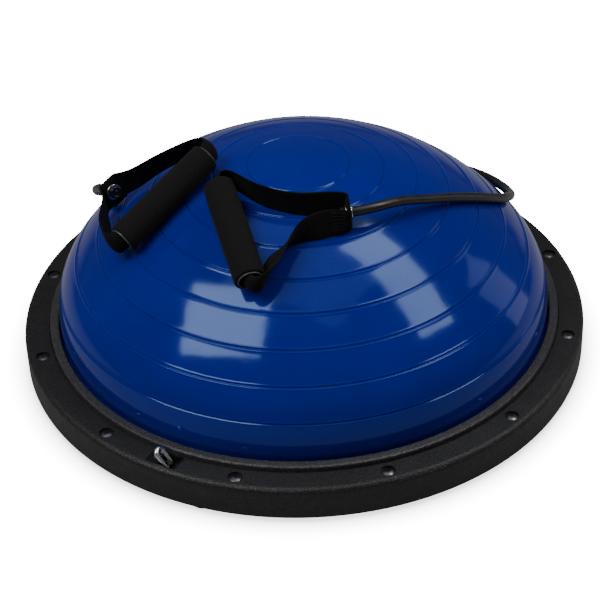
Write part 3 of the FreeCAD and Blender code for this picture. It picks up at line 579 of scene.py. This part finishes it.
# %% Wire links
def carried(name, path, sideways, upright, section, wrap=True, uv=None, place=Matrix.Identity(4)):
    """A section carried along a path: each point is the path's point plus the section's
    first number along sideways and its second along upright."""
    grid = path[:, None] + section[..., :1] * sideways[:, None] + section[..., 1:] * upright[:, None]
    m = np.array(place)
    grid = grid @ m[:3, :3].T + m[:3, 3]
    return mesh_from_grid(name, grid, wrap, True, uv)


def along_path(path, wrap=True):
    """The unit direction at each point: the next point less the one before."""
    ahead = np.roll(path, -1, 0) - np.roll(path, 1, 0)
    if not wrap:
        ahead[0], ahead[-1] = path[1] - path[0], path[-1] - path[-2]
    return ahead / np.linalg.norm(ahead, axis=1, keepdims=True)


def link_path(half=0.00475, corner=0.003, straight=0.01175):
    """Pivot bar, corner, leg, round end, leg, corner: arcs joined by straight runs."""
    far = corner + straight
    bar = [(0.0, y) for y in np.linspace(corner - half, half - corner, 6)]
    first = arc((corner, half - corner), corner, 180, 90, 8)[1:]
    leg = [(x, half) for x in np.linspace(corner, far, 10)[1:]]
    end = arc((far, 0.0), half, 90, -90, 28)[1:]
    back = [(x, -half) for x in np.linspace(far, corner, 10)[1:]]
    last = arc((corner, corner - half), corner, -90, -180, 8)[1:-1]
    flat = np.array(bar + first + leg + end + back + last)
    return np.concatenate([flat, np.zeros((len(flat), 1))], 1)


def ring_section(radius, count):
    """A circle as rows of two numbers."""
    turn = np.linspace(0, 2 * np.pi, count, endpoint=False)
    return radius * np.stack([np.cos(turn), np.sin(turn)], -1)


WIRE_RADIUS = 0.0025
LINK_PIVOT = (0.004, -0.2835, 0.034)
LINK_LEAN = math.radians(180 - 52)
for which, turn in (("front", 0.0), ("rear", math.pi)):
    place = (Matrix.Rotation(turn, 4, "Z") @ Matrix.Translation(LINK_PIVOT)
             @ Matrix.Rotation(-LINK_LEAN, 4, "Y"))
    path = link_path()
    upright = np.tile((0.0, 0.0, 1.0), (len(path), 1))
    sideways = np.cross(upright, along_path(path))
    wire = ring_section(WIRE_RADIUS, 24)[None]
    mesh = carried("wire_link_" + which, path, sideways, upright, wire, place=place)
    piece("wire_link_" + which, mesh, CHROME, which + "_link", ["anchor_ring_" + which])

# %% [markdown]
# ## The stirrup handles: where they lie
# Both handles lie thrown on the ball, each in a pose of its own. It is easiest to think
# in a handle's own frame, with X along the grip, Y from the grip to the pad that
# holds the tube, and Z square to both. One matrix then puts every part of it in place.

# %% Handle frames
def handle_frame(centre, along, towards_pad):
    """X along the grip; Y the pad's direction with its share along X taken away; Z by
    the cross product."""
    x = Vector(along).normalized()
    y = Vector(towards_pad)
    y = (y - x * x.dot(y)).normalized()
    turn = Matrix((x, y, x.cross(y))).transposed().to_4x4()
    return Matrix.Translation(centre) @ turn


HANDLES = {
    "right": dict(
        place=handle_frame((0.0, -0.1315, 0.214), (0.671, -0.681, -0.294), (0.7266, 0.6791, 0.0961)),
        pad=(0.011, 0.1143), tilt=-4.9,
    ),
    "left": dict(
        place=handle_frame((-0.0985, -0.1015, 0.2085), (-0.315, -0.863, -0.396), (-0.864, 0.433, -0.25)),
        pad=(0.017, 0.087), tilt=0.0,
    ),
}
GRIP_AXIS = Matrix.Rotation(math.radians(90), 4, "Y")
for name, handle in HANDLES.items():
    print(name, "grip centre", [round(v, 4) for v in handle["place"].translation])

# %% [markdown]
# ## The grips
# A grip is a sleeve of black foam on a hard plastic core whose rim stands a little
# proud at each end, which is the grey ring that catches the light there. Both are turned
# profiles. The foam swells very slightly in the middle and is rounded at its ends.

# %% Grips
HALF_GRIP, FOAM_RADIUS, CORE_RADIUS, BORE_RADIUS = 0.061, 0.016, 0.0126, 0.0112


def foam_profile():
    """Radius against length: a shallow swell over the middle, with round ends."""
    swell = np.linspace(-1, 1, 41)[1:-1]
    body = np.stack([FOAM_RADIUS - 0.0004 * swell ** 6, swell * (HALF_GRIP - 0.003)], -1)
    lower = arc((FOAM_RADIUS - 0.0026, -HALF_GRIP + 0.0022), 0.0022, -90, 0, 7)
    upper = arc((FOAM_RADIUS - 0.0026, HALF_GRIP - 0.0022), 0.0022, 0, 90, 7)
    bore = [(CORE_RADIUS, z) for z in (HALF_GRIP, 0.0, -HALF_GRIP)]
    return np.concatenate([lower, body, upper, bore])


def core_profile():
    """A tube with a rounded rim at each end."""
    rim = HALF_GRIP + 0.0012
    wall = 0.5 * (CORE_RADIUS - BORE_RADIUS)
    middle = BORE_RADIUS + wall
    return np.concatenate([
        arc((middle, -rim + wall), wall, -180, 0, 9), arc((middle, rim - wall), wall, 0, 180, 9),
    ])


for name, handle in HANDLES.items():
    place = handle["place"] @ GRIP_AXIS
    foam = turned("foam_" + name, foam_profile(), 96, place)
    piece("foam_" + name, foam, FOAM, name + "_grip", ["grip_foam_" + name])
    core = turned("core_" + name, core_profile(), 96, place)
    piece("core_" + name, core, CORE, name + "_grip", ["grip_core_" + name])

# %% [markdown]
# ## The webbing loops
# Each loop is flat webbing, 30 mm wide. It runs through the grip's core, where it
# curls to fit the bore, comes out of both ends, twists as it likes and meets itself in
# the doubled pad. A cloth simulation can't hold a stiff strap, so the loop is drawn: a
# few control rows say where its middle runs, how far it leans about its own line, how
# wide it is and how much it curls. A closed spline smooths all six columns at once.

# %% Webbing loops
WEB_THICK = 0.0019
LOOPS = {
    # along the grip, towards the pad, off the plane (mm), lean and curl (degrees), width (mm)
    "right": [
        (-45, 0, 0, 0, 190, 29), (-58, 0, 0, 0, 170, 29), (-67, 1, 0, 0, 120, 28),
        (-71, 7, 0, 0, 80, 28), (-66, 15.5, 0, 0, 45, 29), (-53, 24.5, 0, 0, 20, 29),
        (-39, 34, 0, -3, 8, 30), (-25, 50, 0, -7, 0, 30), (-13, 69, 0, -12, 0, 30),
        (-7, 89, 0, -19, 0, 30), (-2.5, 106, 0, -18, 0, 30), (-0.5, 114.5, 0, -8, 0, 30),
        (3, 115.6, 0, 0, 0, 30), (11, 114.3, 0, 0, 0, 30), (18, 113.8, 0, 0, 0, 30),
        (22, 113, 0, 4, 0, 30), (20.5, 104, 0, 16, 0, 30), (18.5, 93, 0, 26, 0, 30),
        (17.8, 82, 0, 30, 0, 30), (18.5, 70, 0, 20, 4, 29), (22.5, 55.5, 0, -5, 8, 29),
        (31.5, 40.5, 0, -31, 10, 28), (42, 29.5, 0, -48, 14, 28), (54, 20, 0, -38, 25, 28),
        (65, 13, 0, -14, 60, 28), (70.5, 5, 0, 0, 90, 28), (67, 0.5, 0, 0, 130, 28),
        (58, 0, 0, 0, 170, 29), (45, 0, 0, 0, 190, 29), (0, 0, 0, 0, 190, 29),
    ],
    "left": [
        (-45, 0, 0, 0, 190, 30), (-58, 0, 0, 0, 150, 30), (-68.5, 0.5, 0, 0, 100, 30),
        (-74, 7, 0, 0, 60, 30), (-72, 19, 0, -8, 30, 30), (-63, 33, 0, -18, 10, 30),
        (-51, 47, 0, -24, 4, 30), (-33, 61.5, 0, -25, 0, 30), (-13, 69.5, 0, -20, 0, 30),
        (-1, 79, 0, -10, 0, 30), (4.5, 87.2, 0, 0, 0, 30), (11, 87.2, 0, 0, 0, 30),
        (17, 87, 0, 0, 0, 30), (24, 87.2, 0, -2, 0, 30), (30, 87, 0, -14, 0, 30),
        (35.5, 76, 0, -24, 0, 30), (43, 62, 0, -16, 0, 30), (53, 49, 0, -8, 4, 30),
        (61, 37, 0, -3, 10, 29), (67, 21, 0, 0, 30, 29), (72, 9, 0, 0, 60, 30),
        (69, 1, 0, 0, 100, 30), (58, 0, 0, 0, 150, 30), (45, 0, 0, 0, 190, 30),
        (0, 0, 0, 0, 190, 30),
    ],
}


def webbing_section(width, curl, thick, count=15):
    """Across the band and back: a flat strip bent to an arc. curl is the arc's whole
    angle, so its radius is width over curl; the edges are rounded."""
    side = np.sin(np.linspace(-np.pi / 2, np.pi / 2, count))
    across = 0.5 * width[:, None] * np.concatenate([side, side[::-1]])
    edge = 0.5 * thick * np.sqrt(1 - np.abs(side) ** 10)
    off = np.concatenate([edge, -edge[::-1]])
    bend = curl[:, None] / width[:, None]
    radius = 1 / np.maximum(bend, 1e-6)
    angle = across * bend
    flat = np.stack([np.broadcast_to(off, across.shape), across], -1)
    curved = np.stack([
        radius - (radius - off) * np.cos(angle) - 0.16 * curl[:, None] * width[:, None] * 0.5,
        (radius - off) * np.sin(angle),
    ], -1)
    return np.where((bend > 1e-3)[..., None], curved, flat), across


def webbing_loop(controls, thick, count=480):
    """The loop's middle line with, at each point, a sideways and an upright direction
    turned about the line by the lean angle."""
    rows = smooth_loop(np.asarray(controls, float), count)
    path = rows[:, :3] / 1000
    lean, curl, width = np.radians(rows[:, 3]), np.radians(rows[:, 4]), rows[:, 5] / 1000
    direction = along_path(path)
    plane = np.array([0.0, 0.0, 1.0])
    level = np.cross(direction, plane)
    level /= np.linalg.norm(level, axis=1, keepdims=True)
    upright = plane * np.cos(lean)[:, None] + level * np.sin(lean)[:, None]
    sideways = np.cross(upright, direction)
    section, across = webbing_section(width, curl, thick)
    steps = np.linalg.norm(np.diff(path, axis=0, append=path[:1]), axis=1)
    travelled = np.concatenate([[0], np.cumsum(steps)[:-1]])
    uv = np.stack([np.broadcast_to(travelled[:, None], across.shape), across], -1)
    return path, sideways, upright, section, uv, steps.sum()


for name, handle in HANDLES.items():
    path, sideways, upright, section, uv, length = webbing_loop(LOOPS[name], WEB_THICK)
    mesh = carried("webbing_" + name, path, -sideways, upright, section, uv=uv, place=handle["place"])
    piece("webbing_" + name, mesh, WEBBING, "band", ["strap_" + name])
    print("  loop length", round(length, 3), "m")

# %% [markdown]
# ## The doubled pad and its stitches
# The webbing's end is folded back under the pad and sewn down, so the pad is two layers
# thick. The thread goes to and fro along the strap just below the pad. It rises over the
# cloth and dips into it at every stitch, and its way back lies hidden inside the cloth.

# %% Pad layers and stitches
def pad_layer(place, half_long, half_wide, thick):
    """A flat closed pillow: its half height falls to nothing at the rim by a high power,
    so it has a flat face and a rounded edge."""
    u = np.sin(np.linspace(-np.pi / 2, np.pi / 2, 25))
    x, y = half_long * u[:, None], half_wide * u[None]
    height = 0.5 * thick * np.sqrt(np.clip((1 - abs(u[:, None]) ** 12) * (1 - abs(u[None]) ** 16), 0, 1))
    top = np.stack(np.broadcast_arrays(x, y, height), -1)
    under = np.stack(np.broadcast_arrays(x, y, -height), -1)[:, ::-1]
    grid = np.concatenate([top, under], 1)
    m = np.array(place)
    return mesh_from_grid("pad_layer", grid @ m[:3, :3].T + m[:3, 3], False, True, grid[..., :2])


STITCH_PITCH, STITCH_RISE, THREAD_RADIUS = 0.0028, 0.00014, 0.00022
SAMPLE_STEP = 0.0007
THREAD_ROWS = [0.0115, 0.0075, 0.0035, -0.0005, -0.0045, -0.0085]


def stitches(controls, run, rows, place):
    """One thread in rows along the strap, between two of the loop's samples: sideways it
    stands half the cloth's thickness out plus a cosine of the way along, so each stitch
    is a small hump."""
    path, outward, upright, _, _, _ = webbing_loop(controls, WEB_THICK)
    picks = np.arange(*run)
    points, outs = [], []
    for count, offset in enumerate(rows):
        order = picks if count % 2 == 0 else picks[::-1]
        step = np.linspace(0, len(order) * SAMPLE_STEP / STITCH_PITCH, len(order))
        rise = 0.5 * WEB_THICK + STITCH_RISE * np.cos(2 * np.pi * step)
        points.append(path[order] + upright[order] * offset + outward[order] * rise[:, None])
        outs.append(outward[order])
    back = np.linspace(rows[-1], rows[0], 12)[:, None]
    home = order[-1]
    points.append(path[home] + upright[home] * back)
    outs.append(np.tile(outward[home], (12, 1)))
    points, outs = np.concatenate(points), np.concatenate(outs)
    across = np.cross(along_path(points), outs)
    across /= np.linalg.norm(across, axis=1, keepdims=True)
    wire = ring_section(THREAD_RADIUS, 8)[None]
    return carried("stitches", points, outs, across, wire, place=place)


print("pads ready")

# %% [markdown]
# ## Grommets and stops
# The tube goes through a plated grommet in the pad, and a short stop behind it, on the
# grip's side, keeps it from pulling out. The grommet is a rolled ring: two round brims
# joined by a barrel. Its axis is the pad's outward direction. The pad's second layer of
# webbing lies between the brims, and the rows of thread are on the strap beside it.

# %% Grommets and stops
def pad_frame(handle):
    """The pad's middle, with Z pointing outwards, the handle's own Y."""
    x, y = handle["pad"]
    tilt = Matrix.Rotation(math.radians(handle["tilt"]), 4, "Z")
    out = Matrix.Rotation(math.radians(-90), 4, "X")
    return handle["place"] @ Matrix.Translation((x, y, 0)) @ tilt @ out


def grommet_profile(barrel=0.0053, brim=0.0082, thick=0.001, faces=(0.0011, -0.0031)):
    """Barrel, brim rolled over outside, brim rolled over inside."""
    out, back = faces
    upper = arc((brim - 0.5 * thick, out + 0.5 * thick), 0.5 * thick, -90, 90, 9)
    upper_roll = arc((barrel + 0.0014, out + thick - 0.0014), 0.0014, 90, 180, 8)
    lower_roll = arc((barrel + 0.0014, back - thick + 0.0014), 0.0014, 180, 270, 8)
    lower = arc((brim - 0.5 * thick, back - 0.5 * thick), 0.5 * thick, -90, 90, 9)
    inner = [(barrel + 0.001, back), (barrel + 0.001, out)]
    return np.array(upper + upper_roll + lower_roll + lower + inner)


def stop_profile(radius=0.0066, top=-0.0042, length=0.005):
    """A short plug: a flat tail with a shallow ring pressed in it, a rounded edge and a
    small chamfer at its seat."""
    tail = top - length
    face, ring = tail + 0.0002, tail + 0.0006
    dish = [(0.0, face), (0.0026, face), (0.0029, ring), (0.0034, ring), (0.0038, tail)]
    edge = arc((radius - 0.001, tail + 0.001), 0.001, -90, 0, 7)
    return np.array(dish + edge + [(radius, top - 0.0006), (radius - 0.0006, top), (0, top)])


LAYER_DROP, LAYER_HALF_WIDE = 0.00195, 0.0148
LAYER_HALF_LONG = {"right": 0.0075, "left": 0.0095}
SEWN = {"right": (249, 271), "left": (273, 289)}
for name, handle in HANDLES.items():
    place = pad_frame(handle)
    grommet = turned("grommet_" + name, grommet_profile(), 64, place)
    piece("eyelet_" + name, grommet, CHROME, "band", ["grommet_" + name])
    stop = turned("stop_" + name, stop_profile(), 64, place)
    piece("plug_" + name, stop, STOP, "band", ["tube_stop_" + name])
    under = place @ Matrix.Translation((0, 0, -LAYER_DROP))
    layer = pad_layer(under, LAYER_HALF_LONG[name], LAYER_HALF_WIDE, WEB_THICK)
    piece("pad_layer_" + name, layer, WEBBING, "band")
for name, handle in HANDLES.items():
    thread = stitches(LOOPS[name], SEWN[name], THREAD_ROWS, handle["place"])
    piece("stitches_" + name, thread, THREAD, "band")

# %% [markdown]
# ## Finishes on the CAD pieces
# The platform, the ring, the saddles, the screws, the feet and the valve already have
# their true shape. They only need a finish, so each takes one of the materials above.

# %% Finishes on CAD nodes
CAD_FINISH = {
    PLATFORM: ["platform_rim", "platform_floor", "platform_hub", "platform_ribs", "valve_seat"],
    FLANGE: ["clamp_ring"],
    LIP: ["lip_ring"],
    SADDLE: ["anchor_saddle_front", "anchor_saddle_rear"],
    SCREW: ["ring_screws", "saddle_screws"],
    RUBBER: ["rubber_feet", "valve_plug"],
    VINYL: ["bladder_floor"],
}
for material, names in CAD_FINISH.items():
    for name in names:
        nodes[name].data.materials.clear()
        nodes[name].data.materials.append(material)
print("finished CAD nodes:", sum(len(v) for v in CAD_FINISH.values()))

# %% [markdown]
# ## The studio
# Gloss is mostly a picture of the lamps, so the lamps matter as much as the paint. A
# squarish softbox in front on the left and a long one on the right give the ball its two
# bright panes. A weaker strip lights the right flank and a wide lamp hangs overhead. The
# floor is a pale sheet whose glow is seen by the camera only. Close to the platform the
# glow is painted darker: a painted contact shadow.

# %% Studio
LAMP_AIM = Vector((0, 0, 0.12))


def softbox(name, place, size, power):
    """A rectangular lamp at a place, facing the aim point in the ball."""
    data = bpy.data.lights.new(name, "AREA")
    data.shape = "RECTANGLE"
    data.size, data.size_y = size
    data.energy = power
    lamp = bpy.data.objects.new(name, data)
    turn = (LAMP_AIM - Vector(place)).to_track_quat("-Z", "Y").to_matrix().to_4x4()
    lamp.matrix_world = Matrix.Translation(place) @ turn
    bpy.context.scene.collection.objects.link(lamp)
    return lamp


def pane(name, corners, power):
    """A lamp shaped like the four corners: its two directions are the means of opposite
    sides, the second made square to the first, and it shines towards the origin."""
    a, b, c, d = [Vector(corner) for corner in corners]
    middle = (a + b + c + d) / 4
    x = ((b - a) + (c - d)) / 2
    y = ((d - a) + (c - b)) / 2
    lamp = softbox(name, middle, (x.length, y.length), power)
    x.normalize()
    y = (y - x * x.dot(y)).normalized()
    z = x.cross(y)
    if z.dot(middle) < 0:
        y, z = -y, -z
    lamp.matrix_world = Matrix.Translation(middle) @ Matrix((x, y, z)).transposed().to_4x4()
    return lamp


FRONT_CORNERS = [(-1.19, -0.48, 1.27), (-0.08, -0.62, 1.69), (0.08, -1.07, 1.44), (-0.53, -1.24, 1.19)]
LONG_CORNERS = [(0.14, 0.38, 1.76), (1.37, 0.02, 1.17), (1.38, 0.54, 1.03), (0.41, 0.76, 1.58)]
pane("front box", FRONT_CORNERS, 15)
pane("long box", LONG_CORNERS, 11)
softbox("right strip", (1.3, 1.4, 0.45), (0.5, 1.3), 1.7)
softbox("overhead", (0.0, 0.3, 2.6), (2.4, 2.4), 9)

floor_mesh = bpy.data.meshes.new("floor")
FLOOR_HALF = 20
floor_corners = [(x * FLOOR_HALF, y * FLOOR_HALF, 0) for x, y in ((-1, -1), (1, -1), (1, 1), (-1, 1))]
floor_mesh.from_pydata(floor_corners, [], [(0, 1, 2, 3)])
floor = bpy.data.objects.new("floor", floor_mesh)
bpy.context.scene.collection.objects.link(floor)
floor_material, floor_tree, floor_shader = new_material("pale floor")
floor_shader.inputs["Base Color"].default_value = (0.4, 0.4, 0.4, 1)
floor_shader.inputs["Roughness"].default_value = 0.9
floor_shader.inputs["Specular IOR Level"].default_value = 0.1
floor_shader.inputs["Emission Color"].default_value = (1, 1, 1, 1)
seen = node(floor_tree, "LightPath").outputs["Is Camera Ray"]
axes = node(floor_tree, "SeparateXYZ", Vector=object_place(floor_tree))
squares = [maths(floor_tree, "MULTIPLY", axes.outputs[k], axes.outputs[k]) for k in (0, 1)]
away = maths(floor_tree, "SQRT", maths(floor_tree, "ADD", *squares))
# The camera glow is painted darker in a band round the platform, down to SHADED_GLOW at its rim: a painted
# contact shadow.
SHADE_START, SHADE_END, SHADED_GLOW, CAMERA_GLOW = 0.298, 0.328, 2.2, 18.0
glow_and_painted_shadow = remap(floor_tree, away, SHADE_START, SHADE_END, SHADED_GLOW, CAMERA_GLOW)
floor_tree.links.new(maths(floor_tree, "MULTIPLY", seen, glow_and_painted_shadow), floor_shader.inputs["Emission Strength"])
floor_mesh.materials.append(floor_material)
floor.location = (0, 0, -0.0002)

world = bpy.data.worlds.new("room")
bpy.context.scene.world = world
world.use_nodes = True
room = world.node_tree
sky = room.nodes["Background"]
sky.inputs[0].default_value = (0.95, 0.97, 1.0, 1)
seen = node(room, "LightPath").outputs["Is Camera Ray"]
room.links.new(remap(room, seen, 0.0, 1.0, 0.11, CAMERA_GLOW), sky.inputs[1])
